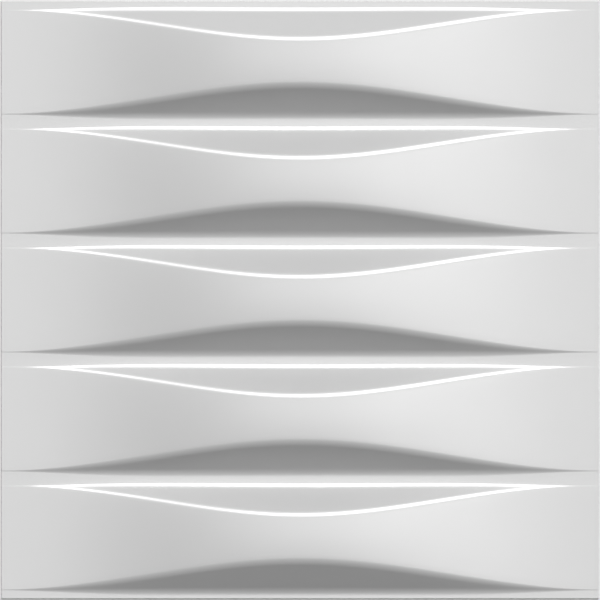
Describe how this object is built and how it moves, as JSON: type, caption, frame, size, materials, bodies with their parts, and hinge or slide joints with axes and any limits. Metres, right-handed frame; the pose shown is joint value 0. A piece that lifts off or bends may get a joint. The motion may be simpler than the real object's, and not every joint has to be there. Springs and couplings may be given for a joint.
{
  "type": "3d wall panel tile",
  "caption": "Square thin moulded wall tile with wide raised bands that swell in the middle and run out flat at the sides, hollow at the back, glued edge to edge on a wall.",
  "frame": {"origin": "centre of the square back plane that lies on the wall", "axes": "+X along the bands, +Y up the wall, +Z out of the wall through the front"},
  "size_m": [0.5, 0.5, 0.0254],
  "materials": {
    "panel_pvc": "satin white, smooth, through-coloured"
  },
  "bodies": {
    "root": {"wall_panel": "panel_pvc"}
  },
  "joints": []
}
